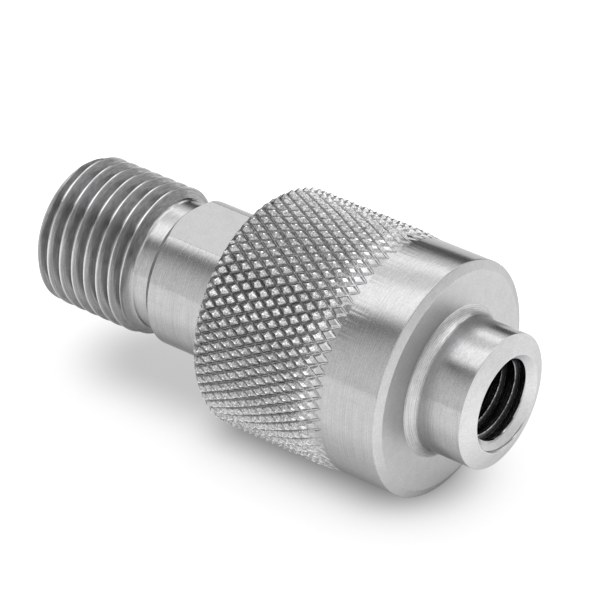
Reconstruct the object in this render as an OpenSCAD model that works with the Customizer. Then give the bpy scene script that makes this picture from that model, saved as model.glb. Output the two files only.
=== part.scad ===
// Quick test coupling for a small tube fitting, in stainless steel.
// A knurled coupling nut turns on the rear body and screws by hand on to a tube fitting's thread,
// which presses the sealing stem into the fitting's cone. The rear end is a male thread.
// The coupling stands on its threaded end, with its axis along Z and its nose up.

/* [Rear thread] */
// Outer diameter of the male thread at the rear end
thread_d = 12.7; // [12.2:0.1:14]
// Distance between two crests of the male thread
thread_pitch = 1.27; // [1:0.01:1.5]
// Length of the male thread from the end face to the relief groove
thread_len = 9.85; // [9:0.05:16]
// Axial length of the slope from the last crest down into the relief groove
thread_slope = 0.65; // [0.4:0.05:1]
// Width of the chamfer at the end of the male thread
thread_chamfer = 0.75; // [0.4:0.05:1]

/* [Rear body] */
// Length of the relief groove between thread and shank
relief_len = 2.15; // [1.5:0.05:4]
// Depth of the relief groove below the wrench flats
relief_drop = 0.05; // [0.03:0.01:0.2]
// Diameter of the shank that the nut turns on
shank_d = 12.35; // [12.2:0.05:12.8]
// Distance across the two wrench flats
flats_across = 11.1; // [10.8:0.1:12]
// Length of the wrench flats
flats_len = 7; // [4:0.1:8]
// Length of shank left free for a wrench, behind the nut
wrench_room = 7.3; // [5:0.1:14]
// Thickness of the thrust flange inside the nut
flange_len = 4.4; // [3:0.1:5]
// Radial width of the thrust flange's seat, from the shank out to the wall of the nut's chamber
thrust_width = 1.9; // [1.6:0.05:2.1]
// Diameter of the port bored into the rear end
port_d = 7; // [5:0.1:8]
// Depth of the rear port
port_depth = 8; // [5:0.1:9]
// Diameter of the passage between port and stem
passage_d = 2.4; // [1.8:0.1:3.2]

/* [Coupling nut] */
// Diameter of the nut's smooth front band
band_d = 19.75; // [19.5:0.05:22]
// Length of the nut's sleeve, without the nose
sleeve_len = 18.1; // [17:0.1:24]
// Length of the smooth band with its chamfer
band_len = 5.3; // [4:0.1:7]
// Radial width of the chamfer round the nut's front face
face_chamfer = 0.75; // [0.3:0.05:1]
// Axial height of that chamfer
face_chamfer_h = 0.38; // [0.2:0.02:0.8]
// Diameter of the nose
nose_d = 11.25; // [11:0.05:13]
// Length of the nose
nose_len = 5.3; // [4.5:0.1:8]
// Radius of the fillet where the nose meets the front face
nose_fillet = 0.8; // [0.3:0.05:1.1]
// Radial width of the chamfer round the nose's rim
rim_chamfer = 0.85; // [0.2:0.05:1]
// Axial height of the rim's chamfer
rim_chamfer_h = 0.35; // [0.2:0.05:0.6]
// Height by which the rim's face rises from its chamfer to the mouth
rim_rise = 0.28; // [0.1:0.02:0.4]
// Axial length of the lip behind the retaining ring
lip_len = 1.5; // [1:0.1:2]

/* [Knurl] */
// Number of diamonds round the sleeve
knurl_count = 63; // [48:1:64]
// Number of half diamonds along the sleeve, between its rear edge and the band
knurl_rows = 15; // [12:1:15]
// Height of the diamonds from valley to tip
knurl_depth = 0.42; // [0.2:0.02:0.5]
// Height by which the tips stand proud of the smooth band
knurl_rise = 0.2; // [0.1:0.02:0.2]
// Radial drop from the smooth band's surface to the sleeve's rear edge
knurl_drop = 0.55; // [0.3:0.05:0.6]

/* [Nose thread] */
// Outer diameter of the female thread in the nose
nose_thread_d = 7.94; // [7.6:0.02:8.2]
// Inner diameter of the female thread, at its crests
nose_minor_d = 6.65; // [6.5:0.05:6.9]
// Distance between two crests of the female thread
nose_pitch = 1.27; // [1.1:0.01:1.3]
// Length of the female thread with its lead-in
nose_thread_len = 6.1; // [5.5:0.1:7]
// Diameter of the lead-in at the mouth
mouth_d = 8.1; // [7.9:0.05:8.6]
// Diameter of the recess behind the female thread
recess_d = 8.3; // [8:0.1:9]
// Length of that recess
recess_len = 3.1; // [2.8:0.1:4]

/* [Sealing stem] */
// Diameter of the stem's front shank
stem_d = 5.8; // [5.6:0.05:6]
// Diameter of the stem's screwed end
stem_screw_d = 8; // [7.5:0.1:8.4]
// Length of the stem's screwed end
stem_screw_len = 4.6; // [3.5:0.1:5]
// Distance across the stem's hexagon
stem_hex = 9; // [8.6:0.1:9.6]
// Height of the hexagon
stem_hex_len = 2.2; // [1.6:0.1:2.4]
// Diameter of the stem's sealing land in the body
land_d = 5; // [4.6:0.1:5.4]
// Length of the sealing land
land_len = 3.4; // [3:0.1:3.6]
// Diameter of the spigot that enters the tube fitting
spigot_d = 3.1; // [2.9:0.05:3.17]
// Diameter of the passage through the stem
stem_bore_d = 1.6; // [1.2:0.1:1.8]

/* [Rings and washers] */
// Thickness of the retaining ring
ring_t = 1; // [0.8:0.05:1.2]
// Depth of the retaining ring's groove in the chamber wall
ring_groove = 0.5; // [0.3:0.05:0.6]
// Radial width of the retaining ring
ring_width = 1.5; // [1.3:0.05:1.6]
// Thickness of the hard thrust washer
thrust_t = 1; // [0.6:0.1:1.2]
// Thickness of each low-friction washer
slip_t = 0.8; // [0.5:0.1:1]
// Thickness of the section of the stem's rear seal ring
stem_ring_t = 0.95; // [0.85:0.01:1]
// Thickness of the section of the tip's seal ring
tip_ring_t = 1.1; // [0.9:0.05:1.2]
// Thickness of each backup ring
backup_t = 0.6; // [0.4:0.05:0.7]

/* [Clearances] */
// Radial gap of the flange in its chamber
turn_gap = 0.08; // [0.03:0.01:0.1]
// Radial gap between the shank and the opening that it leaves the nut by
rear_gap = 0.45; // [0.4:0.05:0.7]
// Axial play of the nut between its washers
end_play = 0.2; // [0.1:0.05:0.3]
// Gap between parts that are screwed or pushed together
seat_gap = 0.02; // [0.01:0.01:0.04]
// Gap between a washer and what it passes over
washer_gap = 0.15; // [0.1:0.05:0.3]
// Room between the stem's hexagon and its pocket in the nut
hex_room = 0.45; // [0.3:0.05:0.6]
// Gap round the stem's shank where it passes through the nut
stem_gap = 0.22; // [0.15:0.01:0.4]

/* [Hidden] */
$fn = 96;

// Overshoot of each cut, past the face that it opens
cut = 1;
// Depth of the male thread as a share of its pitch
thread_depth = 0.61;
// Widths of the crests of the male and the female thread, and of a root, as shares of the pitch
male_crest = 1 / 8;
female_crest = 1 / 4;
root_share = 1 / 8;

// Heights on the rear body, whose shank starts with a cone of 45 degrees out of the relief groove
relief_r = flats_across / 2 - relief_drop;
shank_z = thread_len + relief_len;
foot_z = shank_z - shank_d / 2 + relief_r;
nut_z = shank_z + wrench_room;

// Heights inside the nut, from its rear face up
ring_z = nut_z + lip_len;
thrust_z = ring_z + ring_t;
rear_slip_z = thrust_z + thrust_t;
flange_z = rear_slip_z + slip_t + end_play;
flange_top = flange_z + flange_len;
shoulder_z = flange_top + slip_t;

// Heights on the nut, up to its nose
face_z = nut_z + sleeve_len;
tip_z = face_z + nose_len;
band_z = face_z - band_len;
nose_thread_z = tip_z - nose_thread_len;
recess_z = nose_thread_z - recess_len;
pocket_top = flange_top + stem_hex_len + hex_room;
// Width of the flat that is left round the mouth
rim_land = 0.1;

// Radii of the nut and of what turns in it
band_r = band_d / 2;
nose_r = nose_d / 2;
shank_r = shank_d / 2;
chamber_r = shank_r + thrust_width;
flange_r = chamber_r - turn_gap;
rear_mouth_r = shank_r + rear_gap;
washer_in_r = shank_r + washer_gap;
washer_out_r = chamber_r - washer_gap;
ring_out_r = chamber_r + ring_groove - seat_gap;
mouth_r = mouth_d / 2;
minor_r = nose_minor_d / 2;
pocket_r = stem_hex / sqrt(3) + hex_room;
guide_r = stem_d / 2 + stem_gap;

// Heights on the stem
land_top = flange_top - stem_screw_len;
land_z = land_top - land_len;
seat_z = recess_z + washer_gap;
spigot_top = nose_thread_z - washer_gap;

// Radii of the seal rings, each in the middle of its groove
groove_r = land_d / 2 - stem_ring_t;
stem_ring_r = groove_r + seat_gap + stem_ring_t / 2;
tip_ring_r = spigot_d / 2 + seat_gap + tip_ring_t / 2;
// Distance from the stem's inner end to its seal groove
groove_edge = 0.7;
groove_z = land_z + groove_edge;
stem_ring_z = groove_z + seat_gap;
stem_backup_z = stem_ring_z + stem_ring_t + seat_gap;
groove_top = stem_backup_z + backup_t + seat_gap;

// Depth to which the knurled solid runs on under the smooth band
knurl_lap = 0.1;
// Depth under the band's surface at which the knurl has faded out
knurl_sink = 0.04;
// Number of half diamonds over which the knurl fades out at the band
fade_rows = 2;
knurl_row_h = (band_z + knurl_lap - nut_z) / knurl_rows;

// Profile of V grooves cut from a wall at radius crest_r down to radius root_r, between two heights
module thread_grooves(crest_r, root_r, from_z, to_z, pitch, crest_share) {
    open = pitch * (1 - crest_share) / 2;
    root = pitch * root_share / 2;
    out = crest_r > root_r ? cut : -cut;
    lean = (open - root) / abs(crest_r - root_r);
    for (z = [from_z + open : pitch : to_z - open])
        polygon([
            [crest_r + out, z - open - cut * lean], [root_r, z - root],
            [root_r, z + root], [crest_r + out, z + open + cut * lean]
        ]);
}

// Round wire or rubber ring about the axis
module ring(mid_r, section, mid_z) {
    rotate_extrude()
        translate([mid_r, mid_z])
            circle(d = section, $fn = 48);
}

// Flat washer about the axis
module washer(in_r, out_r, z, t) {
    translate([0, 0, z])
        difference() {
            cylinder(r = out_r, h = t);
            translate([0, 0, -cut])
                cylinder(r = in_r, h = t + 2 * cut);
        }
}

// Rear body: male thread, relief groove, shank with two flats, and the flange that the nut pushes on
module rear_body_profile() {
    thread_r = thread_d / 2;
    root_r = thread_r - thread_depth * thread_pitch;
    difference() {
        polygon([
            [0, 0], [thread_r - thread_chamfer, 0], [thread_r, thread_chamfer],
            [thread_r, thread_len - thread_slope], [relief_r, thread_len],
            [relief_r, foot_z], [shank_r, shank_z], [shank_r, flange_z],
            [flange_r, flange_z], [flange_r, flange_top], [0, flange_top]
        ]);
        thread_grooves(thread_r, root_r, thread_chamfer / 2, thread_len - thread_slope,
            thread_pitch, male_crest);
    }
}

module rear_body() {
    port_chamfer = 0.5;
    color([0.72, 0.72, 0.73])
        difference() {
            rotate_extrude()
                rear_body_profile();
            for (side = [-1, 1])
                translate([-shank_d, side * flats_across / 2 + (side < 0 ? -shank_d : 0), foot_z])
                    cube([2 * shank_d, shank_d, shank_z + flats_len - foot_z]);
            translate([0, 0, -cut])
                cylinder(d = port_d, h = port_depth + cut);
            translate([0, 0, -cut])
                cylinder(r1 = port_d / 2 + port_chamfer + cut, r2 = port_d / 2, h = port_chamfer + cut);
            translate([0, 0, port_depth - cut])
                cylinder(d = passage_d, h = flange_top);
            translate([0, 0, land_z - washer_gap])
                cylinder(r = land_d / 2 + seat_gap, h = flange_top);
            translate([0, 0, land_top - washer_gap])
                cylinder(r = stem_screw_d / 2 + seat_gap, h = flange_top);
        }
}

// Radius of a knurl point: a plain ring at the rear edge, then tips and valleys that fade at the band
function knurl_fade(row) = min(1, (knurl_rows - row) / fade_rows);
function knurl_r(row, tip) =
    row == 0 ? band_r - knurl_drop
    : band_r - knurl_sink
        + knurl_fade(row) * (knurl_sink + (tip ? knurl_rise : knurl_rise - knurl_depth));

// Solid of the knurled sleeve: a ring of points per row, tips and valleys taking turns round it.
// Each cell is split from valley to valley, so that four faces rise to every tip.
module knurl_solid() {
    n = 2 * knurl_count;
    points = [
        for (row = [0 : knurl_rows], i = [0 : n - 1])
            let (r = knurl_r(row, (row + i) % 2 == 1), a = 360 * i / n)
                [r * cos(a), r * sin(a), nut_z + row * knurl_row_h]
    ];
    sides = [
        for (row = [0 : knurl_rows - 1], i = [0 : n - 1])
            let (a = row * n + i, b = row * n + (i + 1) % n, c = a + n, d = b + n)
                each ((row + i) % 2 == 0 ? [[a, d, b], [a, c, d]] : [[a, c, b], [b, c, d]])
    ];
    bottom = [for (i = [0 : n - 1]) i];
    top = [for (i = [n - 1 : -1 : 0]) knurl_rows * n + i];
    polyhedron(points, concat(sides, [bottom, top]), convexity = 6);
}

// Outline of the band and the nose in the plane through the axis, without the bores
module nut_outline() {
    difference() {
        polygon([
            [0, band_z], [band_r, band_z],
            [band_r, face_z - face_chamfer_h], [band_r - face_chamfer, face_z],
            [nose_r + nose_fillet, face_z], [nose_r + nose_fillet, face_z + nose_fillet],
            [nose_r, face_z + nose_fillet],
            [nose_r, tip_z - rim_rise - rim_chamfer_h], [nose_r - rim_chamfer, tip_z - rim_rise],
            [mouth_r + rim_land, tip_z], [0, tip_z]
        ]);
        translate([nose_r + nose_fillet, face_z + nose_fillet])
            circle(r = nose_fillet, $fn = 64);
    }
}

// Outline of the nut's hollow: rear mouth, chamber with ring groove, pocket, stem guide and thread
module nut_hollow() {
    polygon([
        [0, nut_z - cut], [rear_mouth_r, nut_z - cut], [rear_mouth_r, nut_z + lip_len / 2],
        [chamber_r, nut_z + lip_len / 2], [chamber_r, ring_z], [chamber_r + ring_groove, ring_z],
        [chamber_r + ring_groove, ring_z + ring_t + seat_gap], [chamber_r, ring_z + ring_t + seat_gap],
        [chamber_r, shoulder_z], [pocket_r, shoulder_z], [pocket_r, pocket_top],
        [guide_r, pocket_top], [guide_r, recess_z], [recess_d / 2, recess_z],
        [recess_d / 2, nose_thread_z], [minor_r, nose_thread_z],
        [minor_r, tip_z - (mouth_r - minor_r)], [mouth_r + cut, tip_z + cut], [0, tip_z + cut]
    ]);
    thread_grooves(minor_r, nose_thread_d / 2, nose_thread_z - nose_pitch / 2, tip_z, nose_pitch,
        female_crest);
}

// Coupling nut: knurled sleeve, smooth band and nose, turned from one bar
module coupling_nut() {
    color([0.70, 0.70, 0.71])
        difference() {
            union() {
                rotate_extrude()
                    nut_outline();
                knurl_solid();
            }
            rotate_extrude()
                nut_hollow();
        }
}

// Retaining ring: sprung into the chamber's groove behind the thrust washer
module retaining_ring() {
    gap_width = 1.2;
    color([0.45, 0.46, 0.48])
        difference() {
            washer(ring_out_r - ring_width, ring_out_r, ring_z, ring_t);
            translate([-gap_width / 2, 0, ring_z - cut])
                cube([gap_width, ring_out_r + cut, ring_t + 2 * cut]);
        }
}

module thrust_washer() {
    color([0.62, 0.62, 0.64])
        washer(washer_in_r, washer_out_r, thrust_z, thrust_t);
}

module rear_slip_washer() {
    color([0.93, 0.92, 0.88])
        washer(washer_in_r, washer_out_r, rear_slip_z, slip_t);
}

module front_slip_washer() {
    color([0.93, 0.92, 0.88])
        washer(pocket_r + washer_gap, washer_out_r, flange_top, slip_t);
}

// Sealing stem: screwed into the body by its hexagon, with a spigot that enters the tube fitting
module sealing_stem() {
    spigot_chamfer = 0.35;
    spigot_r = spigot_d / 2;
    color([0.76, 0.76, 0.77])
        difference() {
            union() {
                rotate_extrude()
                    polygon([
                        [0, land_z], [land_d / 2, land_z], [land_d / 2, groove_z], [groove_r, groove_z],
                        [groove_r, groove_top], [land_d / 2, groove_top],
                        [land_d / 2, land_top], [stem_screw_d / 2, land_top],
                        [stem_screw_d / 2, flange_top], [stem_d / 2, flange_top],
                        [stem_d / 2, seat_z], [spigot_r, seat_z],
                        [spigot_r, spigot_top - spigot_chamfer],
                        [spigot_r - spigot_chamfer, spigot_top], [0, spigot_top]
                    ]);
                translate([0, 0, flange_top])
                    cylinder(d = 2 * stem_hex / sqrt(3), h = stem_hex_len, $fn = 6);
            }
            translate([0, 0, land_z - cut])
                cylinder(d = stem_bore_d, h = spigot_top - land_z + 2 * cut);
        }
}

module stem_seal_ring() {
    color([0.1, 0.1, 0.1])
        ring(stem_ring_r, stem_ring_t, stem_ring_z + stem_ring_t / 2);
}

module stem_backup_ring() {
    color([0.93, 0.92, 0.88])
        washer(groove_r + seat_gap, land_d / 2, stem_backup_z, backup_t);
}

module tip_backup_ring() {
    color([0.93, 0.92, 0.88])
        washer(spigot_d / 2 + seat_gap, stem_d / 2 - washer_gap, seat_z, backup_t);
}

module tip_seal_ring() {
    color([0.1, 0.1, 0.1])
        ring(tip_ring_r, tip_ring_t, seat_z + backup_t + seat_gap + tip_ring_t / 2);
}

rear_body();
coupling_nut();
retaining_ring();
thrust_washer();
rear_slip_washer();
front_slip_washer();
sealing_stem();
stem_seal_ring();
stem_backup_ring();
tip_backup_ring();
tip_seal_ring();
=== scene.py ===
"""Looks for the test coupling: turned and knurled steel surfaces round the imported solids.

All sizes are in millimetres from the rear end face up, along +Z. Shapes turn to metres in
make_mesh, and materials read Object coordinates, which are in metres, through Graph.mm_span.
"""

import math
from collections import namedtuple

import bpy
import numpy as np
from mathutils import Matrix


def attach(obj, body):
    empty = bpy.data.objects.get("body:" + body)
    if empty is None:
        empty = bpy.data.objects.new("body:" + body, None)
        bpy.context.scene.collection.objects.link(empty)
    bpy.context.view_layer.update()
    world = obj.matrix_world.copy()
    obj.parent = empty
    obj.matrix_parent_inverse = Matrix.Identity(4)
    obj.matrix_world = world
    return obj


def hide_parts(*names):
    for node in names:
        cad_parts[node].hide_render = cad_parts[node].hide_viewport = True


bl_info = {
    "name": "Test coupling looks",
    "version": (1, 0, 0),
    "blender": (4, 5, 0),
    "location": "View3D > Sidebar > Coupling",
    "description": "Makes the knurled nut and the threaded body of a test coupling",
    "category": "Object",
}

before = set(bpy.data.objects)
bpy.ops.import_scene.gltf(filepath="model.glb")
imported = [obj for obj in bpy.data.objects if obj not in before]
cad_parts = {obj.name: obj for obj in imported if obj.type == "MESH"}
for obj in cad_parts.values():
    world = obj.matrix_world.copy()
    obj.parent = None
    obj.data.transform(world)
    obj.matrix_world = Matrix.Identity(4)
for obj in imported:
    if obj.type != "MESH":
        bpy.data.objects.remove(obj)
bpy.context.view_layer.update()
MM = 0.001
TURN = 2 * math.pi

# Sizes of the solids that the surfaces follow: R is a radius, Z a height.
# Outside of the rear body
THREAD_R, THREAD_PITCH, THREAD_CHAMFER, THREAD_DEPTH = 6.35, 1.27, 0.75, 0.775
SLOPE_Z, RELIEF_Z, RELIEF_R = 9.3, 9.95, 5.5
SHANK_Z, SHANK_R = 12.0, 6.175
FLAT_HALF, FLAT_TOP = 5.55, 19.0
FLANGE_Z, FLANGE_TOP, FLANGE_GAP = 23.8, 28.2, 0.08
# Inside of the rear body: port, passage, seat of the stem's land and hole of its screw
PORT_R, PORT_Z, PORT_CHAMFER, PASSAGE_R = 3.5, 8.0, 0.5, 1.2
LAND_R, LAND_Z, SCREW_R, SCREW_Z = 2.52, 20.05, 4.02, 23.45
# Outside of the nut
NUT_Z, BAND_Z, FACE_Z, TIP_Z = 19.3, 32.1, 37.4, 42.7
BAND_R, NOSE_R = 9.875, 5.625
FACE_CHAMFER, FACE_CHAMFER_Z = 0.75, 0.38
RIM_CHAMFER, RIM_CHAMFER_Z, RIM_RISE = 0.85, 0.35, 0.28
# Inside of the nut: rear opening, ring groove, chamber, pocket, guide, recess and nose thread
OPENING_R, OPENING_Z, CHAMBER_R, SHOULDER_Z = 6.625, 20.05, 8.075, 29.0
RING_Z, RING_TOP, RING_DEPTH = 20.8, 21.82, 0.5
POCKET_R, POCKET_TOP, GUIDE_R, GUIDE_TOP = 5.646, 30.85, 3.12, 33.5
RECESS_R, RECESS_TOP = 4.15, 36.6
NOSE_PITCH, NOSE_MINOR_R, NOSE_ROOT_R, MOUTH_R = 1.27, 3.325, 3.97, 4.05


# ---------------------------------------------------------------- surfaces

# Value of the points' fourth number where there is no knurl
OFF_KNURL = -0.1


def rounded(points, radius, steps=8):
    """Profile with each inner corner rounded: between the two points where the rounding starts,
    a corner P becomes the curve (1-t)^2 A + 2t(1-t) P + t^2 B for t from 0 to 1. It takes no more
    than 0.45 of either side."""
    most = 0.45
    p = np.asarray(points, float)
    before, corner, after = p[:-2], p[1:-1], p[2:]
    back, on = before - corner, after - corner
    back_len = np.linalg.norm(back, axis=1)[:, None]
    on_len = np.linalg.norm(on, axis=1)[:, None]
    reach = np.minimum(radius, most * np.minimum(back_len, on_len))
    start, end = corner + back / back_len * reach, corner + on / on_len * reach
    t = np.linspace(0, 1, steps)[None, :, None]
    curve = (1 - t) ** 2 * start[:, None] + 2 * t * (1 - t) * corner[:, None] + t**2 * end[:, None]
    return np.concatenate([p[:1], curve.reshape(-1, 2), p[-1:]])


def arc(centre, radius, start, end, steps):
    """Part of a circle in the profile's plane: centre + radius (cos a, sin a), a in degrees."""
    a = np.radians(np.linspace(start, end, steps))
    return np.stack([centre[0] + radius * np.cos(a), centre[1] + radius * np.sin(a)], 1)


def turned(profile, angles):
    """Rows of a turned surface: the profile's radius and height at every angle."""
    p = np.asarray(profile, float)
    shape = (len(p), len(angles))
    return {
        "r": np.broadcast_to(p[:, :1], shape).copy(),
        "a": np.broadcast_to(angles, shape).copy(),
        "z": np.broadcast_to(p[:, 1:], shape).copy(),
        "shift": 0,
    }


def threaded(angles, low, high, start, pitch, phases, radius_at):
    """Rows that follow a right-hand thread: height = start + pitch (angle/turn + count + phase),
    held between low and high, with the radius from radius_at(angle, height)."""
    first = math.floor((low - start) / pitch) - 2
    last = math.ceil((high - start) / pitch) + 1
    steps = (np.arange(first, last + 1)[:, None] + np.asarray(phases)[None, :]).reshape(-1, 1)
    z = np.clip(start + pitch * (angles[None, :] / TURN + steps), low, high)
    a = np.broadcast_to(angles, z.shape).copy()
    return {"r": radius_at(a, z), "a": a, "z": z, "shift": len(phases)}


def vee(angle, height, start, pitch, open_half, root_half):
    """Depth of a thread's V groove as a share from 0 at its edge to 1 at its root, by the distance
    to the nearest turn of the groove's middle, measured along the axis."""
    count = (height - start) / pitch - angle / TURN
    away = np.abs(count - np.round(count)) * pitch
    return np.clip((open_half - away) / (open_half - root_half), 0, 1)


def smooth(x, low, high):
    """0 below low, 1 above high and 3t^2 - 2t^3 between them."""
    t = np.clip((x - low) / (high - low), 0, 1)
    return t * t * (3 - 2 * t)


def closed_surface(strips, columns):
    """Points and triangles of strips of rows laid one after the other, the last joined to the
    first. A strip with a shift joins its last column to its first that many rows further on. The
    points' fourth value is the depth below the knurl's tips."""
    r, a, z = (np.concatenate([s[k] for s in strips]) for k in "raz")
    rows = len(r)
    counts = [len(s["r"]) for s in strips]
    ends = np.repeat(np.cumsum(counts) - 1, counts)
    starts = np.repeat(np.cumsum(counts) - counts, counts)
    shift = np.repeat([s["shift"] for s in strips], counts)
    split = np.concatenate([s.get("split", np.zeros(s["r"].shape, bool)) for s in strips])
    split = split[..., None]
    down = np.concatenate([s.get("down", np.full(s["r"].shape, OFF_KNURL)) for s in strips])
    points = np.stack([r * np.cos(a), r * np.sin(a), z, down], -1).reshape(-1, 4)

    j, i = np.meshgrid(np.arange(rows), np.arange(columns), indexing="ij")
    wrap = (i == columns - 1) * shift[:, None]
    up = (j + 1) % rows
    right = (i + 1) % columns
    same_strip = j < ends[j]
    low_right = np.clip(j + wrap, starts[j], ends[j])
    high_right = np.where(same_strip, np.clip(up + wrap, starts[j], ends[j]), up)
    pa, pb = j * columns + i, low_right * columns + right
    pc, pd = up * columns + i, high_right * columns + right
    one = np.where(split, np.stack([pa, pb, pc], -1), np.stack([pa, pb, pd], -1))
    two = np.where(split, np.stack([pb, pd, pc], -1), np.stack([pa, pd, pc], -1))
    return points, np.concatenate([one.reshape(-1, 3), two.reshape(-1, 3)])


def weld(points, triangles, step=1e-5):
    """Merges points that fall in the same cell of a grid with that step, and drops the triangles
    that lose a corner. The grid is moved by an odd share, so that no round size lies on the edge
    of a cell."""
    odd_share = 0.37
    keys = np.floor(points[:, :3] / step + odd_share).astype(np.int64)
    _, first, name = np.unique(keys, axis=0, return_index=True, return_inverse=True)
    t = name.reshape(-1)[triangles]
    whole = (t[:, 0] != t[:, 1]) & (t[:, 1] != t[:, 2]) & (t[:, 2] != t[:, 0])
    return points[first], t[whole]


def make_mesh(name, points, triangles, crease=13):
    """Blender object from points in millimetres, shaded smooth up to the crease angle in degrees.
    The points' fourth value becomes the attribute "down"."""
    points, triangles = weld(points, triangles)
    mesh = bpy.data.meshes.new(name)
    mesh.vertices.add(len(points))
    mesh.vertices.foreach_set("co", (points[:, :3] * MM).astype(np.float32).ravel())
    mesh.loops.add(triangles.size)
    mesh.loops.foreach_set("vertex_index", triangles.astype(np.int32).ravel())
    mesh.polygons.add(len(triangles))
    mesh.polygons.foreach_set("loop_start", np.arange(0, triangles.size, 3, dtype=np.int32))
    mesh.update(calc_edges=True)
    mesh.validate()
    down = mesh.attributes.new("down", "FLOAT", "POINT")
    down.data.foreach_set("value", points[:, 3].astype(np.float32))
    mesh.polygons.foreach_set("use_smooth", np.ones(len(mesh.polygons), bool))
    mesh.set_sharp_from_angle(angle=math.radians(crease))
    thing = bpy.data.objects.new(name, mesh)
    bpy.context.scene.collection.objects.link(thing)
    return thing


def dress(thing, material, body, slot, *nodes):
    """Gives a new piece its material and its body, and hides the solids that it stands for. The
    slot is not used.
    """
    thing.data.materials.clear()
    thing.data.materials.append(material)
    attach(thing, body)
    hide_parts(*nodes)


# ---------------------------------------------------------------- materials

# Where a point of a surface lies: its place as a vector, its parts, and its distance to the axis
Spot = namedtuple("Spot", "place x y z radius")


class Graph:
    """Node tree that is built call by call: add() returns the new node's output."""

    def __init__(self, tree):
        tree.nodes.clear()
        self.tree = tree

    def add(self, kind, inputs, out=0, **settings):
        node = self.tree.nodes.new(kind)
        for key, value in settings.items():
            setattr(node, key, value)
        for key, value in inputs.items():
            if isinstance(value, bpy.types.NodeSocket):
                self.tree.links.new(value, node.inputs[key])
            else:
                node.inputs[key].default_value = value
        return node.outputs[out]

    def finish(self, shader, kind="ShaderNodeOutputMaterial"):
        self.tree.links.new(shader, self.tree.nodes.new(kind).inputs[0])

    def math(self, operation, a, b=0.0):
        return self.add("ShaderNodeMath", {0: a, 1: b}, operation=operation)

    def times(self, first, *others):
        for other in others:
            first = self.math("MULTIPLY", first, other)
        return first

    def plus(self, a, b):
        return self.math("ADD", a, b)

    def most(self, a, b):
        return self.math("MAXIMUM", a, b)

    def mix(self, share, a, b):
        return self.add("ShaderNodeMix", {0: share, 2: a, 3: b}, data_type="FLOAT")

    def sway(self, value, size):
        """Value about 0.5 turned to one about 0, of the given size."""
        return self.math("MULTIPLY", self.math("SUBTRACT", value, 0.5), size)

    def wave(self, value, length):
        """Sine of the value with a wave of that length, in millimetres."""
        return self.math("SINE", self.math("MULTIPLY", value, TURN / (length * MM)))

    def dot(self, a, b):
        return self.add("ShaderNodeVectorMath", {0: a, 1: b}, out=1, operation="DOT_PRODUCT")

    def noise(self, place, scale, detail):
        return self.add(
            "ShaderNodeTexNoise", {"Vector": place, "Scale": scale, "Detail": detail}
        )

    def span(self, value, low, high, to_low=0.0, to_high=1.0):
        """Smooth step from to_low at low to to_high at high."""
        return self.add(
            "ShaderNodeMapRange",
            {
                "Value": value, "From Min": low, "From Max": high,
                "To Min": to_low, "To Max": to_high,
            },
            interpolation_type="SMOOTHSTEP",
        )

    def mm_span(self, value, low, high, to_low=0.0, to_high=1.0):
        """The same with low and high in millimetres and the value in metres."""
        return self.span(value, low * MM, high * MM, to_low, to_high)

    def zone(self, value, rise, fall):
        """1 between two heights or radii and 0 outside, each edge given as two millimetres."""
        return self.times(self.mm_span(value, *rise), self.mm_span(value, *fall, 1.0, 0.0))

    def ramp(self, value, stops):
        node = self.tree.nodes.new("ShaderNodeValToRGB")
        self.tree.links.new(value, node.inputs[0])
        ramp = node.color_ramp
        while len(ramp.elements) < len(stops):
            ramp.elements.new(0.5)
        for element, (place, grey) in zip(ramp.elements, stops):
            element.position = place
            element.color = (grey, grey, grey, 1)
        return node.outputs[0]

    def spot(self):
        """The surface's point in Object coordinates."""
        place = self.add("ShaderNodeTexCoord", {}, out="Object")
        parts = self.tree.nodes.new("ShaderNodeSeparateXYZ")
        self.tree.links.new(place, parts.inputs[0])
        x, y, z = parts.outputs
        flat = self.add("ShaderNodeCombineXYZ", {0: x, 1: y, 2: 0.0})
        radius = self.add("ShaderNodeVectorMath", {0: flat}, out=1, operation="LENGTH")
        return Spot(place, x, y, z, radius)


def new_graph(name):
    material = bpy.data.materials.new(name)
    material.use_nodes = True
    return material, Graph(material.node_tree)


# Distance between two turning lines, and width of the edges of matt zones
FEED, MATT_EDGE = 0.21, 0.03


def knurl_painted_light_and_dirt(g, down):
    """Factor by the depth below the knurl's tips: a painted highlight on the tips, plain flanks,
    and valleys darkened by dirt and painted shade.
    """
    return g.times(g.span(down, 0.0, 0.04, 2.1, 1.0), g.span(down, 0.22, 0.31, 1.0, 0.4))


def nose_marks_and_painted_light(g, at, tone, fine, grain):
    """Tone with the marks of the nose: the female thread darkened as painted shade, with six fine
    bright tool marks a turn that follow its helix, turning lines in the fillet, and the rim
    brightened as painted light."""
    # the bore of the female thread, where painted shade goes
    inside = g.times(
        g.mm_span(at.radius, 4.02, 4.06, 1.0, 0.0),
        g.mm_span(at.z, RECESS_TOP - 0.1, RECESS_TOP),
        g.mm_span(at.z, 41.9, 41.93, 1.0, 0.0),
    )
    pitches = g.math("DIVIDE", at.z, NOSE_PITCH * MM)
    angle = g.math("DIVIDE", g.math("ARCTAN2", at.y, at.x), TURN)
    turns = g.math("SUBTRACT", pitches, angle)
    marks = g.plus(g.math("SINE", g.times(turns, 6 * TURN)), g.sway(grain, 1.6))
    # painted shade: inside the thread the tone falls to 0.45 between the tool marks, which rise to
    # 1.8
    tone = g.times(tone, g.mix(inside, 1.0, g.span(marks, 0.6, 1.2, 0.45, 1.8)))

    fillet = g.times(
        g.zone(at.z, (37.36, 37.42), (38.1, 38.4)),
        g.zone(at.radius, (5.62, 5.66), (6.33, 6.37)),
    )
    lines = g.wave(g.math("SUBTRACT", at.z, at.radius), FEED)
    lines = g.plus(g.times(lines, 0.16), g.sway(fine, 0.6))
    tone = g.plus(tone, g.times(fillet, lines))
    # painted light: the rim's tone is raised by 1.15
    return g.times(tone, g.mm_span(at.z, 42.05, 42.1, 1.0, 1.15))


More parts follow.
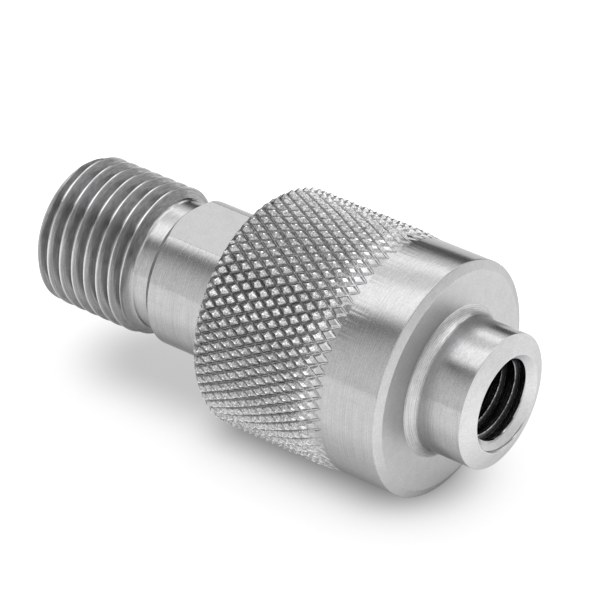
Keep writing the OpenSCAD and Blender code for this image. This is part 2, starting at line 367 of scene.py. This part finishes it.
def thread_marks_and_painted_light(g, at, tone, fine):
    """Tone with the marks of the male thread: striped flanks darkened as painted shade, and crests
    lightened as a painted highlight.
    """
    flank = g.times(
        g.mm_span(at.z, 9.6, 9.9, 1.0, 0.0), g.mm_span(at.radius, 6.2, 6.34, 1.0, 0.0)
    )
    crest = g.times(g.mm_span(at.z, 9.2, 9.4, 1.0, 0.0), g.mm_span(at.radius, 6.31, 6.345))
    tone = g.plus(tone, g.times(flank, g.sway(fine, 0.8)))
    # painted shade: the flanks fall to 0.72; painted highlight: the crests gain 0.4
    return g.times(tone, g.plus(g.mix(flank, 1.0, 0.72), g.times(crest, 0.4)))


def milled_zone(g, at):
    """1 on the wrench flats, which are milled and not turned."""
    return g.times(
        g.mm_span(g.math("ABSOLUTE", at.y), FLAT_HALF - 0.015, FLAT_HALF - 0.002),
        g.mm_span(at.z, 11.0, 11.2),
        g.mm_span(at.z, FLAT_TOP, FLAT_TOP + 0.01, 1.0, 0.0),
    )


def turned_steel(name, colour, roughness=0.18, matt_from=(), knurled=False, threaded=False):
    """Turned steel: fine rings about the axis in tone and bump, blurred across the rings more than
    along them, with a faint grain.
    From each height and radius in matt_from on it is matt, to the share given there, and on the
    knurl the rings give way to scuffs, to a painted highlight on the tips and to valleys darkened
    by dirt and painted shade. Nose and thread get painted light and shade too."""
    material, g = new_graph(name)
    at = g.spot()
    # the rings' noise is read by radius and height, and moves a little round the axis
    round_axis = g.times(g.math("DIVIDE", at.x, at.radius), 1.2 * MM)
    ring_place = g.add("ShaderNodeCombineXYZ", {0: at.radius, 1: at.z, 2: round_axis})
    fine = g.noise(ring_place, 9000.0, 2.0)
    wide = g.noise(ring_place, 1500.0, 1.0)
    grain = g.noise(at.place, 7000.0, 1.0)
    mottle = g.noise(at.place, 1300.0, 3.0)
    feed = g.times(g.wave(at.z, FEED), g.span(wide, 0.45, 0.7, 0.0, 0.05))

    matt = 0.0
    for low_z, low_r, share in matt_from:
        zone = g.times(
            g.mm_span(at.z, low_z, low_z + MATT_EDGE),
            g.mm_span(at.radius, low_r, low_r + MATT_EDGE, 0.0, share),
        )
        matt = g.most(matt, zone)
    rings = g.plus(g.sway(fine, 0.34), feed)
    specks = g.plus(g.sway(grain, 0.30), g.sway(mottle, 0.16))
    knurl = 0.0
    if knurled:
        down = g.add("ShaderNodeAttribute", {}, out="Fac", attribute_name="down")
        knurl = g.times(g.span(down, -0.08, -0.005), g.mm_span(at.z, 30.0, 31.8, 1.0, 0.0))
        scuffs = g.noise(at.place, 7500.0, 3.0)
        specks = g.plus(specks, g.times(knurl, g.sway(scuffs, 2.8)))
    uneven = g.most(matt, knurl)
    tone = g.plus(g.times(rings, g.mix(uneven, 1.0, 0.25)), specks)
    tone = g.times(g.plus(tone, 1.0), g.mix(matt, 1.0, 1.3))
    if knurled:
        # painted highlight on the knurl's tips, and dirt with painted shade in its valleys
        tone = g.times(tone, g.mix(knurl, 1.0, knurl_painted_light_and_dirt(g, down)))
        tone = nose_marks_and_painted_light(g, at, tone, fine, grain)
    if threaded:
        tone = thread_marks_and_painted_light(g, at, tone, fine)
        milled = milled_zone(g, at)
        tone = g.times(g.mix(milled, tone, g.plus(specks, 1.0)), g.mix(milled, 1.0, 0.94))
        matt = g.most(matt, g.times(milled, 0.5))
        uneven = matt

    height = g.plus(fine, g.times(grain, g.mix(uneven, 0.4, 1.0)))
    bump = g.add("ShaderNodeBump", {"Strength": 1.0, "Distance": 4e-6, "Height": height})
    rough, streaks = roughness, 0.85
    if knurled or threaded:
        rough = g.mix(matt, g.mix(knurl, roughness, 0.26), 0.45)
        streaks = g.mix(uneven, streaks, 0.0)
    shader = g.add(
        "ShaderNodeBsdfPrincipled",
        {
            "Base Color": g.add(
                "ShaderNodeVectorMath", {0: (*colour,), 3: tone}, operation="SCALE"
            ),
            "Metallic": 1.0,
            "Roughness": rough,
            "Specular Tint": (0.65, 0.65, 0.65, 1),
            "Normal": bump,
            "Tangent": g.add("ShaderNodeTangent", {}, direction_type="RADIAL", axis="Z"),
            "Anisotropic": streaks,
            "Anisotropic Rotation": 0.25,
        },
    )
    g.finish(shader)
    return material


def plain_finish(name, colour, roughness, metallic=0.0, scale=4000.0):
    """Moulded plastic, rubber or ground steel: an even colour with a fine grain in tone, gloss
    and bump."""
    material, g = new_graph(name)
    grain = g.noise(g.add("ShaderNodeTexCoord", {}, out="Object"), scale, 3.0)
    low, high = 0.2, 0.8
    shade = g.span(grain, low, high, 0.92, 1.05)
    shader = g.add(
        "ShaderNodeBsdfPrincipled",
        {
            "Base Color": g.add(
                "ShaderNodeVectorMath", {0: (*colour,), 3: shade}, operation="SCALE"
            ),
            "Metallic": metallic,
            "Roughness": g.span(grain, low, high, roughness - 0.05, roughness + 0.05),
            "Normal": g.add(
                "ShaderNodeBump", {"Strength": 0.6, "Distance": 3e-6, "Height": grain}
            ),
        },
    )
    g.finish(shader)
    return material


# ---------------------------------------------------------------- settings


class StageSettings(bpy.types.PropertyGroup):
    lens: bpy.props.FloatProperty(
        name="Lens",
        description="Focal length of the camera, in millimetres",
        default=233.4,
        unit="CAMERA",
    )
    camera_place: bpy.props.FloatVectorProperty(
        name="Camera place",
        description="Where the camera stands",
        default=(0.18822, -0.18963, 0.17899),
        subtype="XYZ",
        unit="LENGTH",
    )
    camera_turn: bpy.props.FloatVectorProperty(
        name="Camera turn",
        description="The camera's turn about X, Y and Z",
        default=tuple(math.radians(v) for v in (-33.2622, -52.7134, 174.5587)),
        subtype="EULER",
    )
    light: bpy.props.FloatProperty(
        name="Light", description="Strength of the studio's panels", default=1.24
    )
    # base of the table's glow; its rise away from the contact line and its dip under the sleeve
    # are a painted shadow
    glow: bpy.props.FloatProperty(
        name="Table glow",
        description="Light that the table shows under the coupling besides what it catches",
        default=0.47,
    )


class NutSettings(bpy.types.PropertyGroup):
    diamonds: bpy.props.IntProperty(
        name="Diamonds", description="Diamonds round the knurl", default=63
    )
    diamond_len: bpy.props.FloatProperty(
        name="Diamond length",
        description="Length of a diamond along the axis, in mm",
        default=1.7067,
    )
    knurl_depth: bpy.props.FloatProperty(
        name="Knurl depth", description="Depth from tip to valley, in mm", default=0.42
    )
    knurl_rise: bpy.props.FloatProperty(
        name="Knurl rise", description="Height of the tips above the band, in mm", default=0.2
    )
    colour: bpy.props.FloatVectorProperty(
        name="Colour",
        description="Colour of the nut's steel",
        default=(0.42, 0.42, 0.424),
        subtype="COLOR",
    )


class BodySettings(bpy.types.PropertyGroup):
    colour: bpy.props.FloatVectorProperty(
        name="Colour",
        description="Colour of the body's steel",
        default=(0.42, 0.42, 0.424),
        subtype="COLOR",
    )


# ---------------------------------------------------------------- stage

# Directions of the table that the coupling lies on, and its distance from the coupling's axis
TABLE_NORMAL = np.array([-0.08716, -0.99619, 0.0])
TABLE_BACK = (-0.7907, 0.0692, -0.6083)
TABLE_SIDE = (-0.6059, 0.0530, 0.7937)
TABLE_REACH = 10.08
TABLE_MIDDLE_Z, TABLE_HALF = 21.0, 4000.0
# Line that the coupling lies on: its X and the heights that it runs between. The table's painted
# shadow is measured from it.
CONTACT_X, CONTACT_LOW, CONTACT_HIGH = 0.88, 8.0, 32.5
# Studio light by the turn about the coupling: 0 lies behind it, 0.5 above and 1 in front
STUDIO_TOP = (
    (0.0, 0.15), (0.02, 0.12), (0.085, 0.12),  # dark gap
    (0.12, 0.8), (0.165, 1.05), (0.19, 1.75), (0.23, 1.6),  # back panel
    (0.262, 1.0), (0.33, 1.0),  # grey between the panels
    (0.352, 1.75), (0.41, 1.6), (0.452, 1.5),  # top panel
)
# Towards the thread's end a dark slit follows, and towards the nose the top panel reaches further
STUDIO_REAR = STUDIO_TOP + (
    (0.472, 0.8), (0.48, 0.02), (0.528, 0.02),  # dark slit
    (0.56, 0.36), (0.6, 0.6), (0.7, 0.8), (0.85, 0.9), (1.0, 0.85),  # grey front
)
STUDIO_FRONT = STUDIO_TOP + (
    (0.5, 1.3), (0.56, 1.0), (0.6, 0.85), (0.7, 0.8), (0.85, 0.9), (1.0, 0.85),
)
# Even grey beyond the nose
STUDIO_NOSE = 0.6


class COUPLING_OT_stage(bpy.types.Operator):
    """Camera, studio and the pale table that the coupling lies on"""

    bl_idname = "coupling.stage"
    bl_label = "Stage"

    def execute(self, context):
        cfg = context.scene.coupling_stage
        data = bpy.data.cameras.new("camera")
        data.lens, data.sensor_width = cfg.lens, 36.0
        data.clip_start, data.clip_end = 0.01, 10.0
        camera = bpy.data.objects.new("camera", data)
        camera.location, camera.rotation_euler = cfg.camera_place, cfg.camera_turn
        context.scene.collection.objects.link(camera)
        context.scene.camera = camera
        context.scene.view_settings.view_transform = "Standard"
        self.table(context.scene, cfg)
        self.world(context.scene, cfg)
        return {"FINISHED"}

    def table(self, scene, cfg):
        """Square plane that touches the knurl's tips, seen only from the coupling's side."""
        side, back = np.array(TABLE_SIDE), np.array(TABLE_BACK)
        centre = -TABLE_NORMAL * TABLE_REACH + np.array([0, 0, TABLE_MIDDLE_Z])
        signs = ((-1, -1), (1, -1), (1, 1), (-1, 1))
        corners = [centre + TABLE_HALF * (a * side + b * back) for a, b in signs]
        mesh = bpy.data.meshes.new("table")
        mesh.from_pydata([tuple(c * MM) for c in corners], [], [(0, 1, 2, 3)])
        mesh.update()
        if np.dot(np.array(mesh.polygons[0].normal), TABLE_NORMAL) < 0:
            mesh.flip_normals()
        mesh.materials.append(self.pale_table(cfg))
        table = bpy.data.objects.new("table", mesh)
        scene.collection.objects.link(table)

    def pale_table(self, cfg):
        """Pale paper that catches the coupling's shadow, with a painted shadow in its glow: the
        glow rises in two steps with the distance to the contact line, less a darker painted shadow
        under the sleeve."""
        material, g = new_graph("pale table")
        at = g.spot()
        past = g.most(
            g.math("SUBTRACT", CONTACT_LOW * MM, at.z), g.math("SUBTRACT", at.z, CONTACT_HIGH * MM)
        )
        beside = g.plus(at.x, -CONTACT_X * MM)
        away = g.add("ShaderNodeCombineXYZ", {0: beside, 1: g.most(past, 0.0), 2: 0.0})
        away = g.add("ShaderNodeVectorMath", {0: away}, out=1, operation="LENGTH")
        # the thread is slimmer than the sleeve, so the painted shadow beside it is narrower
        sleeve = g.mm_span(at.z, 15.0, 20.0)
        away = g.plus(away, g.mm_span(at.z, 15.0, 20.0, 1.2 * MM, 0.0))
        # painted shadow: the glow is lowest along the contact line and rises in two steps away
        # from it
        rise = g.plus(g.mm_span(away, 3.0, 10.0, 0.0, 0.36), g.mm_span(away, 9.0, 22.0, 0.0, 0.32))
        # painted shadow, darker still close under the sleeve
        painted_contact_shadow = g.times(sleeve, g.mm_span(away, 2.0, 8.2, 0.32, 0.0))
        glow = g.math("SUBTRACT", g.plus(rise, cfg.glow), painted_contact_shadow)
        # metal and glass show the table's glow as the camera does
        path = g.tree.nodes.new("ShaderNodeLightPath").outputs
        seen = g.most(path["Is Camera Ray"], path["Is Glossy Ray"])
        seen = g.most(seen, path["Is Transmission Ray"])
        light = g.add(
            "ShaderNodeEmission", {"Color": (1, 1, 1, 1), "Strength": g.times(seen, glow)}
        )
        paper = g.add("ShaderNodeBsdfDiffuse", {"Color": (0.18, 0.18, 0.18, 1)})
        lit = g.add("ShaderNodeAddShader", {0: paper, 1: light})
        clear = g.add("ShaderNodeBsdfTransparent", {})
        behind = g.add("ShaderNodeNewGeometry", {}, out="Backfacing")
        g.finish(g.add("ShaderNodeMixShader", {0: behind, 1: lit, 2: clear}))
        return material

    def world(self, scene, cfg):
        """Soft studio round the table, with panels and dark gaps by the turn about the coupling,
        and an even grey beyond the nose. The camera sees plain white."""
        world = bpy.data.worlds.new("studio")
        scene.world = world
        world.use_nodes = True
        g = Graph(world.node_tree)
        way = g.add("ShaderNodeTexCoord", {}, out="Generated")
        up = g.dot(way, tuple(TABLE_NORMAL))
        back = g.dot(way, TABLE_BACK)
        side = g.dot(way, TABLE_SIDE)
        turn = g.math("DIVIDE", g.math("ABSOLUTE", g.math("ARCTAN2", up, back)), math.pi)
        # side is -1 towards the thread's end and 1 towards the nose
        rear, front = g.ramp(turn, STUDIO_REAR), g.ramp(turn, STUDIO_FRONT)
        panels = g.mix(g.span(side, -0.65, -0.35), rear, front)
        panels = g.mix(g.span(side, 0.5, 0.8), panels, STUDIO_NOSE)
        shown = g.add("ShaderNodeLightPath", {}, out="Is Camera Ray")
        strength = g.times(panels, cfg.light)
        sky = g.add("ShaderNodeBackground", {"Color": (1, 1, 1, 1), "Strength": strength})
        white = g.add("ShaderNodeBackground", {"Color": (1, 1, 1, 1), "Strength": 1.0})
        mix = g.add("ShaderNodeMixShader", {0: shown, 1: sky, 2: white})
        g.finish(mix, "ShaderNodeOutputWorld")


# ---------------------------------------------------------------- pieces


class COUPLING_OT_nut(bpy.types.Operator):
    """Knurled nut with its smooth band, nose and female thread"""

    bl_idname = "coupling.nut"
    bl_label = "Coupling nut"

    # Columns of the surface for each diamond
    STEPS = 6
    # Height, radius and share from which on the face, the rim and the fillet are matt
    MATT = ((37.03, 6.36, 1.0), (42.05, 0.0, 1.0), (37.35, 5.66, 0.6))

    def execute(self, context):
        cfg = context.scene.coupling_nut
        columns = cfg.diamonds * self.STEPS
        angles = np.arange(columns) * TURN / columns
        strips = [
            turned(self.rear_profile(), angles),
            self.knurl(cfg, columns),
            turned(self.front_profile(), angles),
            self.female_thread(angles),
            turned(self.inner_profile(), angles),
        ]
        points, triangles = closed_surface(strips, columns)
        nut = make_mesh("knurled_nut", points, triangles)
        steel = turned_steel("nut steel", cfg.colour, matt_from=self.MATT, knurled=True)
        dress(nut, steel, "nut_unit", "nut_steel", "coupling_nut")
        return {"FINISHED"}

    def rear_profile(self):
        """Rear opening and flat rear end, with rounded corners."""
        end_r, corner = 9.25, 0.1
        return rounded(
            [
                (OPENING_R, OPENING_Z),
                (OPENING_R, NUT_Z),
                (end_r, NUT_Z),
                (end_r + 0.075, NUT_Z + 0.04),
            ],
            corner,
        )

    def knurl(self, cfg, columns):
        """Diamond knurl. With u and v counting right-hand and left-hand grooves, angle =
        (u + v)/2 and height = (u - v)/2. The radius is the tips' less what the nearer groove
        takes: its depth less the distance past its flat foot times the flanks' steepness. Towards
        the band the grooves get shallow, which leaves wider and wider tips, and the tips come
        down to the band. Towards the rear edge the radius falls by fall t^bend, and the relief
        gets lower."""
        # share of the depth that is cut, length that the grooves run out over, half a foot's width
        cut, run_out, foot_half = 0.8, 1.3, 0.05
        # length, fall and bend of the rear edge, share of relief that it loses
        edge_len, fall, bend, flatter = 0.8, 0.5, 1.4, 0.75
        # how much higher or lower a tip stands, drawn from a table of so many rows
        uneven, table = 0.02, 64
        n = self.STEPS
        rows = int(round((BAND_Z - NUT_Z) / cfg.diamond_len * n)) + 1
        j, i = np.meshgrid(np.arange(rows), np.arange(columns), indexing="ij")
        up, vp = i + j, i - j
        round_len = TURN * BAND_R / cfg.diamonds
        spacing = round_len * cfg.diamond_len / math.hypot(round_len, cfg.diamond_len)
        steep = 2 * cfg.knurl_depth / spacing

        from_band = BAND_Z - NUT_Z - (up - vp) / (2 * n) * cfg.diamond_len
        depth = cfg.knurl_depth * cut * (1 - np.exp(-np.maximum(from_band, 0) / run_out))
        tip_edge = np.clip(depth / (steep * spacing) + foot_half, 0.12, 0.47)
        foot = np.minimum(foot_half, tip_edge / 2)

        def groove_count(steps):
            """Count of grooves after so many steps: six steps go from one groove's middle to the
            next, over its foot, the tip's two edges and the next foot."""
            part = [0, foot, tip_edge, 0.5, 1 - tip_edge, 1 - foot]
            return steps // n + np.choose(steps % n, part)

        u, v = groove_count(up), groove_count(vp)
        near = np.minimum(np.abs(u - np.round(u)), np.abs(v - np.round(v)))
        angle = (u + v) / 2 * TURN / cfg.diamonds
        height = NUT_Z + (u - v) / 2 * cfg.diamond_len
        random = np.random.default_rng(7).uniform(-1, 1, (table, cfg.diamonds))
        cell = random[(up // n - vp // n) % table, (up // n) % cfg.diamonds]
        rise = (cfg.knurl_rise + uneven * cell) * smooth(from_band, 0.2, 2.6)
        groove = np.clip(depth - steep * spacing * (near - foot), 0, depth)
        edge = 1 - np.clip((height - NUT_Z) / edge_len, 0, 1)
        radius = BAND_R - fall * edge**bend + (1 - flatter * edge) * (rise - groove)
        # each square is split along the groove that is nearer
        u_near = np.minimum((up + 1) % n, (-up - 1) % n)
        v_near = np.minimum(vp % n, -vp % n)
        return {
            "r": radius, "a": angle, "z": height, "shift": 0,
            "split": u_near < v_near, "down": groove,
        }

    def front_profile(self):
        """Band, chamfered front face, fillet and nose with its chamfered rim."""
        chamfer_r = BAND_R - FACE_CHAMFER
        body = rounded(
            [
                (BAND_R, BAND_Z + 0.02),
                (BAND_R, 34.5),
                (BAND_R, FACE_Z - FACE_CHAMFER_Z),
                (chamfer_r, FACE_Z),
                (8.0, FACE_Z),
                (6.6, FACE_Z),
            ],
            0.06,
        )
        fillet_r = 1.0
        fillet = arc((NOSE_R + fillet_r, FACE_Z + 0.96), fillet_r, 254, 180, 12)
        nose = rounded(
            [
                (NOSE_R, FACE_Z + 1.2),
                (NOSE_R, TIP_Z - RIM_RISE - RIM_CHAMFER_Z),
                (NOSE_R - RIM_CHAMFER, TIP_Z - RIM_RISE),
                (MOUTH_R + 0.07, TIP_Z),
                (MOUTH_R, TIP_Z),
            ],
            0.05,
        )
        return np.concatenate([body[:-1], fillet, nose])

    def female_thread(self, angles):
        """Right-hand female thread with a lead-in cone: the radius is the larger of the cone's and
        the groove's. The rows run from the mouth down."""
        start, open_half, root_half = 0.3, 0.476, 0.08
        cone_z = TIP_Z - (MOUTH_R - NOSE_MINOR_R)

        def radius(angle, height):
            share = vee(angle, height, start, NOSE_PITCH, open_half, root_half)
            cone = NOSE_MINOR_R + np.maximum(0, height - cone_z)
            return np.maximum(cone, NOSE_MINOR_R + (NOSE_ROOT_R - NOSE_MINOR_R) * share)

        # phases of one pitch: root, flank, crest edge, crest, crest edge, flank
        phases = np.array([0.0, 0.063, 0.22, 0.375, 0.42, 0.5, 0.58, 0.625, 0.78, 0.937])
        strip = threaded(angles, RECESS_TOP, TIP_Z - 0.02, start, NOSE_PITCH, phases, radius)
        return {
            "r": strip["r"][::-1], "a": strip["a"][::-1], "z": strip["z"][::-1],
            "shift": -len(phases),
        }

    def inner_profile(self):
        """Recess, stem guide, pocket, chamber and ring groove, from the thread down to the rear
        opening."""
        return [
            (NOSE_MINOR_R, RECESS_TOP), (RECESS_R, RECESS_TOP), (RECESS_R, GUIDE_TOP),
            (GUIDE_R, GUIDE_TOP), (GUIDE_R, POCKET_TOP), (POCKET_R, POCKET_TOP),
            (POCKET_R, SHOULDER_Z), (CHAMBER_R, SHOULDER_Z), (CHAMBER_R, RING_TOP),
            (CHAMBER_R + RING_DEPTH, RING_TOP), (CHAMBER_R + RING_DEPTH, RING_Z),
            (CHAMBER_R, RING_Z), (CHAMBER_R, OPENING_Z),
        ]


class COUPLING_OT_body(bpy.types.Operator):
    """Rear body with its male thread, relief groove, wrench flats and thrust flange"""

    bl_idname = "coupling.body"
    bl_label = "Rear body"

    COLUMNS = 360

    def execute(self, context):
        cfg = context.scene.coupling_body
        angles = self.columns()
        strips = [
            turned(self.end_profile(), angles),
            self.male_thread(angles, 0.04, THREAD_CHAMFER),
            self.male_thread(angles, THREAD_CHAMFER, SLOPE_Z),
            self.male_thread(angles, SLOPE_Z, RELIEF_Z),
            self.flats(angles),
            turned(self.hidden_profile(), angles),
        ]
        points, triangles = closed_surface(strips, len(angles))
        body = make_mesh("threaded_body", points, triangles)
        steel = turned_steel("body steel", cfg.colour, threaded=True)
        dress(body, steel, "rear_unit", "body_steel", "rear_body")
        return {"FINISHED"}

    def columns(self):
        """Even angles, with the two nearest moved to just before and after each edge of the flats,
        so that the edges are broken."""
        angles = np.arange(self.COLUMNS) * TURN / self.COLUMNS
        edge, half_break = math.asin(FLAT_HALF / SHANK_R), math.radians(0.65)
        for a in (edge, math.pi - edge, math.pi + edge, TURN - edge):
            before = int(a / TURN * self.COLUMNS)
            angles[before], angles[before + 1] = a - half_break, a + half_break
        return angles

    def end_profile(self):
        """Port's chamfer and the ring face at the rear end."""
        face_r = THREAD_R - THREAD_CHAMFER
        return [
            (PORT_R, PORT_CHAMFER), (PORT_R + PORT_CHAMFER, 0.0),
            (face_r - 0.05, 0.0), (face_r + 0.02, 0.02),
        ]

    def hidden_profile(self):
        """Rest of the shank, thrust flange, and the bores down to the port's floor."""
        flange_r = CHAMBER_R - FLANGE_GAP
        return [
            (SHANK_R, FLAT_TOP + 0.001), (SHANK_R, FLANGE_Z), (flange_r, FLANGE_Z),
            (flange_r, FLANGE_TOP), (SCREW_R, FLANGE_TOP), (SCREW_R, SCREW_Z),
            (LAND_R, SCREW_Z), (LAND_R, LAND_Z), (PASSAGE_R, LAND_Z), (PASSAGE_R, PORT_Z),
            (PORT_R, PORT_Z),
        ]

    def male_thread(self, angles, low, high):
        """Right-hand male thread between two heights: the radius is the least of the end's
        chamfer, the groove and the slope into the relief groove, R = relief + (thread - relief)
        (1 - t)^1.5. The last groove's far side is left out over the half that faces the first
        flat."""
        start, open_half, root_half = -0.181, 0.58, 0.07
        # number of the last groove, and the angles over which its far side fades out
        last, fade_from, fade_to = 7, 2.5, 3.6

        def radius(angle, height):
            share = vee(angle, height, start, THREAD_PITCH, open_half, root_half)
            past = (height - start) / THREAD_PITCH - angle / TURN > last
            share = np.where(past, np.maximum(share, smooth(angle, fade_from, fade_to)), share)
            chamfer = THREAD_R - THREAD_CHAMFER + np.maximum(0, height)
            t = np.clip((height - SLOPE_Z) / (RELIEF_Z - SLOPE_Z), 0, 1)
            slope = RELIEF_R + (THREAD_R - RELIEF_R) * (1 - t) ** 1.5
            return np.minimum(np.minimum(chamfer, slope), THREAD_R - THREAD_DEPTH * share)

        # phases of one pitch: root, flank, crest, flank
        phases = np.array(
            [0.0, 0.055, 0.15, 0.25, 0.35, 0.457, 0.5, 0.543, 0.65, 0.75, 0.85, 0.945]
        )
        return threaded(angles, low, high, start, THREAD_PITCH, phases, radius)

    def flats(self, angles):
        """Relief groove, cone of 45 degrees and shank with its two flats. A flat's distance from
        the axis is half_width / |sin(angle)|, and it starts where the cone gets wider than
        that."""
        flat = FLAT_HALF / np.maximum(np.abs(np.sin(angles)), 1e-6)
        edge = np.minimum(flat, SHANK_R)
        cone_z = SHANK_Z - (SHANK_R - edge)
        foot_z = SHANK_Z - (SHANK_R - RELIEF_R)
        rows = [
            (RELIEF_R, RELIEF_Z + 0.01),
            (RELIEF_R, 10.6),
            (RELIEF_R, foot_z - 0.03),
            (RELIEF_R + 0.02, foot_z + 0.02),
            (edge, cone_z),
            (edge, np.maximum(cone_z, SHANK_Z) + 0.02),
            (edge, 14.0),
            (edge, 17.0),
            (edge, FLAT_TOP),
        ]

        def all_round(values):
            return np.array([np.broadcast_to(v, angles.shape) for v in values])

        return {
            "r": all_round([r for r, _ in rows]),
            "a": all_round([angles] * len(rows)),
            "z": all_round([z for _, z in rows]),
            "shift": 0,
        }


class COUPLING_OT_inside(bpy.types.Operator):
    """Finishes of the stem, the rings and the washers inside the coupling"""

    bl_idname = "coupling.inside"
    bl_label = "Stem, rings and washers"

    def execute(self, context):
        plastic = plain_finish("white slip plastic", (0.93, 0.92, 0.88), 0.5)
        rubber = plain_finish("seal rubber", (0.05, 0.05, 0.05), 0.55, scale=2500.0)
        finishes = {
            "sealing_stem": turned_steel("stem steel", (0.76, 0.76, 0.77), 0.26),
            "retaining_ring": plain_finish("spring steel", (0.45, 0.46, 0.48), 0.35, 1.0),
            "thrust_washer": turned_steel("washer steel", (0.62, 0.62, 0.64), 0.3),
            "rear_slip_washer": plastic,
            "front_slip_washer": plastic,
            "stem_backup_ring": plastic,
            "tip_backup_ring": plastic,
            "stem_seal_ring": rubber,
            "tip_seal_ring": rubber,
        }
        for node, material in finishes.items():
            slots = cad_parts[node].data.materials
            slots.clear()
            slots.append(material)
        return {"FINISHED"}


class COUPLING_PT_panel(bpy.types.Panel):
    """Sizes and colours of the coupling's pieces"""

    bl_label = "Test coupling"
    bl_idname = "COUPLING_PT_panel"
    bl_space_type = "VIEW_3D"
    bl_region_type = "UI"
    bl_category = "Coupling"

    def draw(self, context):
        for group, operator in (
            ("coupling_stage", "coupling.stage"),
            ("coupling_nut", "coupling.nut"),
            ("coupling_body", "coupling.body"),
        ):
            box = self.layout.box()
            settings = getattr(context.scene, group)
            for key in settings.__annotations__:
                box.prop(settings, key)
            box.operator(operator)
        self.layout.operator("coupling.inside")


# ---------------------------------------------------------------- add-on

SETTINGS = {
    "coupling_stage": StageSettings,
    "coupling_nut": NutSettings,
    "coupling_body": BodySettings,
}
CLASSES = (
    StageSettings,
    NutSettings,
    BodySettings,
    COUPLING_OT_stage,
    COUPLING_OT_nut,
    COUPLING_OT_body,
    COUPLING_OT_inside,
    COUPLING_PT_panel,
)


def register():
    for cls in CLASSES:
        bpy.utils.register_class(cls)
    for name, group in SETTINGS.items():
        setattr(bpy.types.Scene, name, bpy.props.PointerProperty(type=group))


def unregister():
    for name in SETTINGS:
        delattr(bpy.types.Scene, name)
    for cls in reversed(CLASSES):
        bpy.utils.unregister_class(cls)


def main():
    register()
    bpy.ops.coupling.stage()
    bpy.ops.coupling.nut()
    bpy.ops.coupling.body()
    bpy.ops.coupling.inside()


if __name__ == "__main__":
    main()
